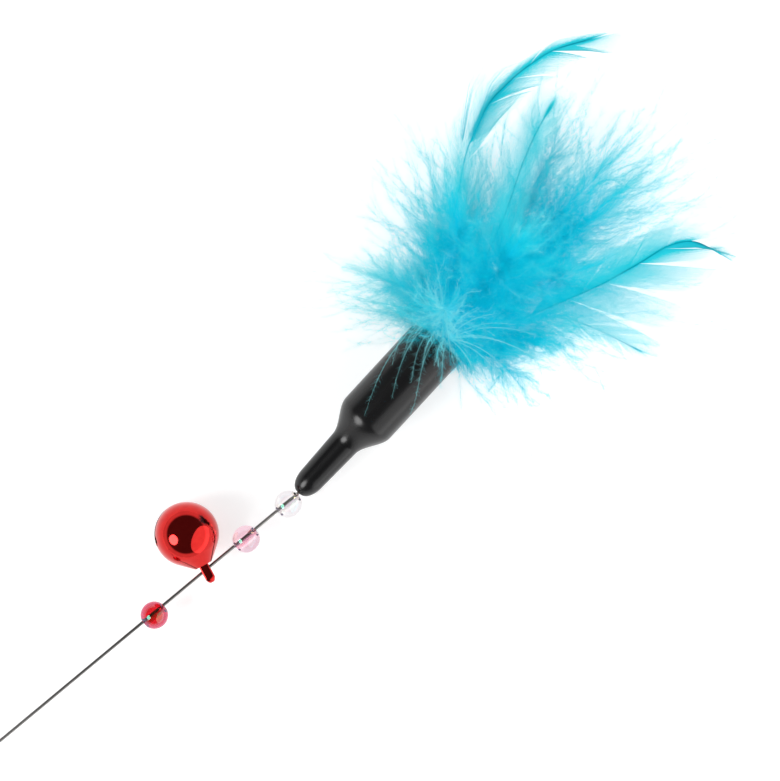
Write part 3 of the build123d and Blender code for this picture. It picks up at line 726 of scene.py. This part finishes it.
def barbules(rng, paths, hairs, reach, half_width, lie, bias):
    """Fine hairs, one triangle each, at random places along barbs and shorter to the barbs' tips.

    A hair leaves its barb at a random direction square to it, laid over towards the tip by the lie.
    """
    count, steps = paths.shape[:2]
    barb = np.repeat(np.arange(count), hairs)
    t = rng.uniform(0.0, 1.0, len(barb)) ** bias
    place = t * (steps - 1)
    low = np.minimum(place.astype(int), steps - 2)
    root = paths[barb, low] + (paths[barb, low + 1] - paths[barb, low]) * (place - low)[:, None]
    along = unit(paths[barb, low + 1] - paths[barb, low])
    loose = unit(np.cross(along, rng.normal(size=(len(barb), 3))))
    way = unit(along * rng.uniform(*lie, (len(barb), 1)) + loose)
    length = reach * (1.0 - HAIR_TAPER * t) * rng.uniform(*HAIR_SCATTER, len(barb))
    across = unit(np.cross(way, facing_up(rng, (len(barb),), HAIR_TILT))) * half_width
    points = np.stack([root - across, root + across, root + way * length[:, None]], axis=1)
    return points.reshape(-1, 3), np.arange(len(barb) * 3).reshape(-1, 3), barb, t


def feather_mesh(parts):
    """Joins parts of (points, faces, along, tone) to one set of points, faces and values."""
    points, triangles, quads, along, tone, start = [], [], [], [], [], 0
    for part_points, part_faces, part_along, part_tone in parts:
        points.append(part_points)
        (triangles if part_faces.shape[1] == 3 else quads).append(part_faces + start)
        along.append(part_along)
        tone.append(part_tone)
        start += len(part_points)
    faces = [np.concatenate(group) for group in (quads, triangles) if group]
    return np.concatenate(points), faces, {"along": np.concatenate(along), "tone": np.concatenate(tone)}


def down(rng, paths, tone, strip, hairs, reach, hair, lie, bias, fade):
    """Parts of a furred set of barbs: a thin ribbon along each and its barbules."""
    count, steps = paths.shape[:2]
    t = np.linspace(0, 1, steps)
    ahead = unit(np.gradient(paths, axis=1))
    across = unit(np.cross(ahead, facing_up(rng, (count, 1), BARB_TILT)))
    width = np.broadcast_to(strip * (1 - BARB_TAPER * t), (count, steps))
    strip_points, strip_faces = ribbons(paths, across, width)
    hair_points, hair_faces, barb, hair_t = barbules(rng, paths, hairs, reach, hair, lie, bias)
    strip_along = np.tile(np.repeat(t * fade, 2), count)
    return [
        (strip_points, strip_faces, strip_along, np.repeat(tone * BARB_TONE, steps * 2)),
        (hair_points, hair_faces, np.repeat(hair_t * fade, 3), np.repeat(tone[barb], 3)),
    ]


def shaft_part(shaft, widths, tones):
    """Part of the shaft itself: two crossed ribbons along it, with a root and a tip width and tone."""
    points, _, side, normal = (line[None] for line in shaft)
    count = points.shape[1]
    width = np.linspace(*widths, count)[None]
    tone = np.repeat(np.linspace(*tones, count), 2)
    return [(*ribbons(points, across, width), tone * 0, tone) for across in (side, normal)]


for number, (name, turn, lift, length_share, barbs, full, lean, shorts, short_length) in enumerate(MARABOU):
    rng = np.random.default_rng(PLUME_SEED + number)
    pale = name == PALE_PLUME
    faded = name == FADED_PLUME
    shaft_share = COLLAR_SHAFT_SHARE if length_share < COLLAR_BELOW else LONG_SHAFT_SHARE
    turns, lifts = ([angle * heading for heading in HEADINGS] for angle in (turn, lift))
    shaft = shaft_line(quill_spot(turn, lift), turns, lifts, PLUME_LENGTH * length_share * shaft_share)
    share = 1 - (1 - (np.arange(barbs) + 0.5) / barbs) ** LONG_CROWDING
    side = np.tile([-1.0, 1.0], barbs // 2)
    bulge = LONG_LEAST + (1 - LONG_LEAST) * np.sin(np.pi * share**LONG_BULGE)
    barb_length = full * bulge * rng.uniform(*LONG_SCATTER, barbs) * (1 + lean * side)
    scatter = rng.normal(0, LONG_ANGLE_SCATTER[0] + LONG_ANGLE_SCATTER[1] * share, barbs)
    root = np.radians(LONG_ANGLE_TIP + LONG_ANGLE_RISE * (1 - share) ** LONG_ANGLE_POWER + scatter)
    tip = root * rng.uniform(*LONG_ANGLE_KEPT, barbs)
    out_angle = rng.normal(0, LONG_OUT, barbs)
    paths = barb_paths(rng, shaft, share, side, barb_length, (root, tip), out_angle, LONG_WAVE)
    tone = rng.uniform(*(LONG_PALE_TONE if pale else LONG_TONE), barbs)
    if not pale:
        tone = tone + LONG_TIP_TONE * share**LONG_TIP_POWER + LONG_FADED_TONE * faded
    parts = shaft_part(shaft, SHAFT_WIDTHS, SHAFT_TONES)
    parts += down(rng, paths, tone, **(TUFT_FUR if pale else LONG_FUR))
    share = rng.uniform(*SHORT_PLACES, shorts)
    side = rng.choice([-1.0, 1.0], shorts)
    root = np.radians(rng.uniform(*SHORT_ANGLES, shorts))
    tip = root * rng.uniform(*SHORT_ANGLE_KEPT, shorts)
    barb_length = short_length * rng.uniform(*SHORT_SCATTER, shorts)
    out_angle = rng.normal(0, SHORT_OUT, shorts)
    paths = barb_paths(rng, shaft, share, side, barb_length, (root, tip), out_angle, SHORT_WAVE)
    tone = np.where(rng.random(shorts) < FLECK_SHARE, FLECK_TONE, rng.uniform(*SHORT_TONE, shorts))
    tone = rng.uniform(*SHORT_PALE_TONE, shorts) if pale else tone + SHORT_FADED_TONE * faded
    parts += down(rng, paths, tone, **(TUFT_FUR if pale else FLUFF_FUR))
    if pale:
        t = np.linspace(0, 1, paths.shape[1])
        start, drift, reach = (np.array(column)[:, None] for column in zip(*DRAPED))
        angle = np.radians(start + drift * t**DRAPE_POWER)
        ring = DRAPE_RING + DRAPE_BOW * np.sin(np.pi * t)
        draped = np.stack([DRAPE_FROM - reach * t, ring * np.sin(angle), ring * np.cos(angle)], axis=-1)
        parts += down(rng, draped, np.full(len(draped), DRAPE_TONE), **DRAPE_FUR)
        heading, reach = (np.array(column)[:, None] for column in zip(*STRAYS))
        angle = np.radians(heading) - STRAY_BEND * t
        run = reach * t
        rise = np.broadcast_to(STRAY_RISE * np.sin(STRAY_ARCH * t), run.shape)
        stray = np.stack([run * np.cos(angle), run * np.sin(angle), rise], axis=-1) + STRAY_FROM
        parts += down(rng, stray, np.full(len(stray), STRAY_TONE), **STRAY_FUR)
    points, faces, values = feather_mesh(parts)
    points = to_world(points)
    fibre = FIBRE["marabou_down"]
    plume = add_piece(name + "_plume", points, faces, fibre, "wand", [name], values)
    # The lowest plumes give the head its shadow on the table. The others cast none, because so many
    # crossing hairs would shade each other far more than real down does.
    plume.visible_shadow = lift < 0

# Blade feathers: dyed hackles with a dark shaft and a thin vane of close parallel barbs that has split
# into locks. Their quills are glued in the cap among the marabou and their tips stand out of it.
# Places of the shafts: ahead of the mouth, to the left, up.
UPPER = (
    (14.0, 11.0, 1.5), (33.9, 23.3, 4.4), (45.0, 26.7, 6.0), (53.2, 26.2, 7.0), (61.8, 24.3, 7.0),
    (69.0, 19.8, 6.0),
)
MIDDLE = ((14.0, 2.8, 4.5), (29.7, 7.8, 8.9), (40.1, 12.3, 12.7), (47.7, 14.9, 13.7), (54.0, 16.2, 14.8))
RIGHT = (
    (14.9, -9.7, 2.7), (32.0, -17.2, 3.6), (41.3, -20.2, 4.5), (48.3, -22.0, 4.6), (52.8, -25.2, 5.1),
    (54.0, -29.8, 4.9), (54.4, -32.4, 3.8),
)
LOWER = ((8.2, -3.8, -2.6), (15.3, -8.9, -3.4), (21.9, -17.9, -5.3), (24.5, -25.2, -6.6), (26.6, -33.4, -7.8))
# Rows: name, turn and lift of the quill, places of the shaft, its root and tip width and tone, and how
# far the last barbs reach past its tip.
HACKLES = (
    ("upper_hackle", 26.0, 12.0, UPPER, (0.12, 0.09), (0.5, 0.0), 8.0),
    ("middle_hackle", 6.8, 17.5, MIDDLE, (0.10, 0.05), (0.03, 0.03), 3.0),
    ("right_hackle", -20.5, 7.5, RIGHT, (0.18, 0.09), (0.03, 0.03), 7.0),
    ("lower_hackle", -14.0, -3.0, LOWER, (0.10, 0.04), (0.03, 0.03), 6.0),
)
# Vanes: which side, shares of the shaft at the first and last barb, barb length at these, angle from
# the shaft there, how much of that angle is left at the barb's tip, half width of a barb, how far a
# lock gathers to its edge, the number of locks, and the range of their tones. The upper blade has
# a downy base under its vane.
VANES = {
    "upper_hackle": (
        (1.0, 0.10, 0.70, 12.0, 10.0, 38.0, 26.0, 0.6, 0.014, 0.02, 2, (0.50, 0.70)),
        (-1.0, 0.10, 0.70, 14.0, 13.0, 40.0, 32.0, 0.6, 0.014, 0.02, 3, (0.50, 0.70)),
        (1.0, 0.56, 1.00, 6.0, 6.0, 24.0, 12.0, 0.5, 0.016, 0.08, 3, (0.34, 0.60)),
        (-1.0, 0.54, 1.00, 11.0, 10.0, 30.0, 22.0, 1.3, 0.017, 0.09, 4, (0.26, 0.48)),
    ),
    "middle_hackle": (
        (1.0, 0.36, 1.00, 10.0, 8.0, 44.0, 42.0, 0.8, 0.019, 0.03, 2, (0.40, 0.56)),
        (-1.0, 0.36, 1.00, 8.0, 6.5, 40.0, 38.0, 0.8, 0.018, 0.05, 3, (0.40, 0.56)),
    ),
    "right_hackle": (
        (1.0, 0.30, 0.86, 18.0, 6.0, 34.0, 36.0, 0.7, 0.022, 0.03, 3, (0.18, 0.42)),
        (-1.0, 0.30, 0.93, 27.0, 11.0, 48.0, 22.0, 0.9, 0.022, 0.12, 5, (0.18, 0.42)),
    ),
    "lower_hackle": (
        (1.0, 0.30, 1.00, 14.0, 8.0, 34.0, 20.0, 0.6, 0.007, 0.20, 5, (0.18, 0.42)),
        (-1.0, 0.30, 1.00, 9.0, 5.0, 34.0, 24.0, 0.7, 0.007, 0.20, 5, (0.18, 0.42)),
    ),
}
BLADE_SEED = 300
BLADE_STEPS = 160
VANE_BARBS = 420
VANE_BARB_STEPS = 9
VANE_BARB_ROOT = 1.25
VANE_BARB_SCATTER = (0.86, 1.0)
VANE_START = 0.55
VANE_GROWTH = 3.0
VANE_CLOSING = 0.12
VANE_ROOM_SCATTER = (0.9, 1.0)
LOCK_WIDTHS = (0.6, 1.4)
LOCK_LEAN = 0.05
LOCK_ROOT_LEAN = 0.4
LOCK_LENGTHS = (0.85, 1.05)
LOCK_DROOP = (-6, 4)
LOCK_SHADE = 0.1
# Loose locks beside the upper blade: places of their middle line, and the spread of their hairs.
SIDE_LOCKS = (
    (
        (36.1, 24.1, 6.1), (40.9, 25.8, 6.5), (45.1, 27.6, 7.0), (47.8, 28.7, 7.2), (51.7, 28.8, 7.2),
        (55.7, 26.8, 6.7),
    ),
    ((34.9, 25.4, 5.2), (39.9, 28.8, 5.6), (44.3, 31.6, 6.1), (48.8, 32.5, 6.6)),
)
SIDE_HAIRS = 36
SIDE_STEPS = 40
SIDE_SPREAD = (0.25, 0.5)
SIDE_TILT = 0.2
SIDE_HALF_WIDTH = 0.014
SIDE_TAPER = 0.7
SIDE_TONE = 0.2
ROUNDING = 8


def smooth_line(places, count):
    """Points evenly along straight runs through the places, then rounded by a moving average."""
    span = np.concatenate([[0], np.cumsum(np.linalg.norm(np.diff(places, axis=0), axis=1))])
    even = np.linspace(0, span[-1], count)
    line = np.stack([np.interp(even, span, places[:, i]) for i in range(3)], axis=-1)
    window = count // ROUNDING
    padded = np.concatenate([np.repeat(line[:1], window, 0), line, np.repeat(line[-1:], window, 0)])
    kernel = np.hanning(window + 2)[1:-1]
    rounded = np.stack([np.convolve(padded[:, i], kernel / kernel.sum(), "same") for i in range(3)], axis=-1)
    return rounded[window:-window]


for number, (name, turn, lift, places, widths, tones, tip_room) in enumerate(HACKLES):
    rng = np.random.default_rng(BLADE_SEED + number)
    points = smooth_line(np.array([(0.0, *quill_spot(turn, lift)), *places]), BLADE_STEPS)
    shaft_length = np.linalg.norm(np.diff(points, axis=0), axis=1).sum()
    ahead = unit(np.gradient(points, axis=0))
    side = unit(np.stack([-ahead[:, 1], ahead[:, 0], np.zeros(len(points))], axis=-1))
    shaft = (points, ahead, side, np.cross(ahead, side))
    parts = shaft_part(shaft, widths, tones)
    run = (np.arange(VANE_BARBS) + 0.5) / VANE_BARBS
    t = np.linspace(0, 1, VANE_BARB_STEPS)
    for row in VANES[name]:
        way, first, last, first_length, last_length, first_sweep, last_sweep, bend = row[:8]
        barb_width, gather, locks, dye_tones = row[8:]
        ends = np.cumsum(rng.uniform(*LOCK_WIDTHS, locks))
        ends = np.concatenate([[0], ends / ends[-1]])
        lock = np.searchsorted(ends[1:], run)
        within = (run - ends[lock]) / np.diff(ends)[lock]
        share = first + (last - first) * run
        lean = rng.normal(0, LOCK_LEAN, locks)[lock] + gather * within**2
        root = np.radians(first_sweep + (last_sweep - first_sweep) * run) + lean * LOCK_ROOT_LEAN
        root *= np.minimum(1.0, (1 - run) / VANE_CLOSING)
        tip = root * bend + lean
        barb_length = first_length + (last_length - first_length) * run
        barb_length = barb_length * rng.uniform(*LOCK_LENGTHS, locks)[lock]
        barb_length *= rng.uniform(*VANE_BARB_SCATTER, len(share))
        barb_length *= np.minimum(1.0, VANE_START + VANE_GROWTH * run)
        ahead_room = (last - share) * shaft_length + tip_room
        ahead_room = ahead_room / np.cos(root) * rng.uniform(*VANE_ROOM_SCATTER, len(share))
        barb_length = np.minimum(barb_length, ahead_room)
        droop = np.radians(rng.normal(*LOCK_DROOP, locks))[lock]
        ways = np.full(len(share), way)
        paths = barb_paths(rng, shaft, share, ways, barb_length, (root, tip), droop, 0.0, VANE_BARB_STEPS)
        across = unit(np.cross(np.gradient(paths, axis=1), sample(shaft[3], share)[:, None]))
        width = np.broadcast_to(barb_width * (VANE_BARB_ROOT - t), paths.shape[:2])
        tone = np.repeat(rng.uniform(*dye_tones, locks)[lock] - LOCK_SHADE * within, VANE_BARB_STEPS * 2)
        parts.append((*ribbons(paths, across, width), np.tile(np.repeat(t, 2), len(share)), tone))
    if name == "upper_hackle":
        t = np.linspace(0, 1, SIDE_STEPS)
        for lock_places in SIDE_LOCKS:
            middle = smooth_line(np.array(lock_places), SIDE_STEPS)
            spread = (SIDE_SPREAD[0] + SIDE_SPREAD[1] * t)[None, :, None]
            paths = middle[None] + rng.normal(0, 1, (SIDE_HAIRS, 1, 3)) * spread
            across = unit(np.cross(np.gradient(paths, axis=1), facing_up(rng, (SIDE_HAIRS, 1), SIDE_TILT)))
            width = np.broadcast_to(SIDE_HALF_WIDTH * (1 - SIDE_TAPER * t), paths.shape[:2])
            tone = np.full(SIDE_HAIRS * SIDE_STEPS * 2, SIDE_TONE)
            parts.append((*ribbons(paths, across, width), np.tile(np.repeat(t, 2), SIDE_HAIRS), tone))
    points, faces, values = feather_mesh(parts)
    points = to_world(points)
    fibre = FIBRE["hackle_vane"]
    add_piece(name + "_blade", points, faces, fibre, "wand", [name], values)

# Table and light: a white table top, a large soft light from the right and a small round one from the left.
# The table glows a little for the camera, for reflections and through the beads, so it shows white there.
# Sizes from here on are in metres.
TABLE_REACH = 6.0
TABLE_GLOW = 0.52
IMAGE_TURN = math.radians(39.7)
IMAGE_RIGHT = np.array([math.cos(IMAGE_TURN), -math.sin(IMAGE_TURN), 0.0])
IMAGE_UP = np.array([math.sin(IMAGE_TURN), math.cos(IMAGE_TURN), 0.0])
AIM = NOSE + np.array([29.3, 4.4, 0.0]) * MM
WHITE = (1, 1, 1)
table_corners = [(x * TABLE_REACH, y * TABLE_REACH, FLOOR) for x, y in ((-1, -1), (1, -1), (1, 1), (-1, 1))]
table_mesh = bpy.data.meshes.new("table")
table_mesh.from_pydata(table_corners, [], [(0, 1, 2, 3)])
table_top = bpy.data.objects.new("table", table_mesh)
bpy.context.scene.collection.objects.link(table_top)
white_table, tree, shader = new_material(
    "white_table", Base_Color=(0.7, 0.7, 0.7, 1), Roughness=0.6, Specular_IOR_Level=0.0,
    Emission_Color=(*WHITE, 1),
)
light_path = tree.nodes.new("ShaderNodeLightPath")
mirrored = tree.nodes.new("ShaderNodeMath")
mirrored.operation = "MAXIMUM"
tree.links.new(light_path.outputs["Is Glossy Ray"], mirrored.inputs[0])
tree.links.new(light_path.outputs["Is Transmission Ray"], mirrored.inputs[1])
seen = tree.nodes.new("ShaderNodeMath")
seen.operation = "MAXIMUM"
tree.links.new(light_path.outputs["Is Camera Ray"], seen.inputs[0])
tree.links.new(mirrored.outputs["Value"], seen.inputs[1])
tree.links.new(value_range(tree, seen.outputs["Value"], 0.0, TABLE_GLOW), shader.inputs["Emission Strength"])
table_mesh.materials.append(white_table)


def softbox(name, way, distance, shape, size, power):
    """Area light that faces the head of the wand from a direction of (right, up, out) in the picture."""
    data = bpy.data.lights.new(name, "AREA")
    data.shape = shape
    data.size = size[0]
    data.energy = power
    if shape == "ELLIPSE":
        data.size_y = size[1]
    lamp = bpy.data.objects.new(name, data)
    back = unit(way[0] * IMAGE_RIGHT + way[1] * IMAGE_UP + way[2] * SKYWARD)
    lamp.location = AIM + back * distance
    lamp.rotation_mode = "QUATERNION"
    lamp.rotation_quaternion = Vector(back).to_track_quat("Z", "Y")
    lamp.visible_camera = False
    bpy.context.scene.collection.objects.link(lamp)


softbox("round_light", way=(-0.72, -0.32, 0.62), distance=1.1, shape="DISK", size=(0.62,), power=7.5)
softbox("long_light", way=(0.853, -0.336, 0.45), distance=1.0, shape="ELLIPSE", size=(2.0, 1.7), power=11.0)
world = bpy.data.worlds.new("studio")
bpy.context.scene.world = world
world.use_nodes = True
tree = world.node_tree
sky = tree.nodes.new("ShaderNodeTexCoord")
height = tree.nodes.new("ShaderNodeSeparateXYZ")
tree.links.new(sky.outputs["Generated"], height.inputs["Vector"])
soft_sky = ramp(tree, height.outputs["Z"], low=WHITE, high=(0.32, 0.32, 0.32), stops=(0.2, 0.5))
mirror_sky = ramp(tree, height.outputs["Z"], low=WHITE, high=(0.1, 0.1, 0.1), stops=(0.22, 0.34))
light_path = tree.nodes.new("ShaderNodeLightPath")
sky_mix = tree.nodes.new("ShaderNodeMix")
sky_mix.data_type = "RGBA"
tree.links.new(light_path.outputs["Is Glossy Ray"], sky_mix.inputs["Factor"])
tree.links.new(soft_sky, sky_mix.inputs["A"])
tree.links.new(mirror_sky, sky_mix.inputs["B"])
tree.links.new(sky_mix.outputs["Result"], tree.nodes["Background"].inputs["Color"])

# Camera: straight above the head of the wand, with the wire running up to the right.
# The picture is as wide as FRAME_WIDTH at the height of the wire.
CAMERA_HEIGHT = 0.9
FRAME_WIDTH = 0.1688
SENSOR_WIDTH = 36.0
lens = bpy.data.cameras.new("camera")
lens.sensor_fit = "HORIZONTAL"
lens.sensor_width = SENSOR_WIDTH
lens.lens = SENSOR_WIDTH * CAMERA_HEIGHT / FRAME_WIDTH
camera = bpy.data.objects.new("camera", lens)
camera.location = AIM + SKYWARD * CAMERA_HEIGHT
camera.rotation_euler = (0.0, 0.0, -IMAGE_TURN)
bpy.context.scene.collection.objects.link(camera)
bpy.context.scene.camera = camera
bpy.context.scene.view_settings.view_transform = "Standard"
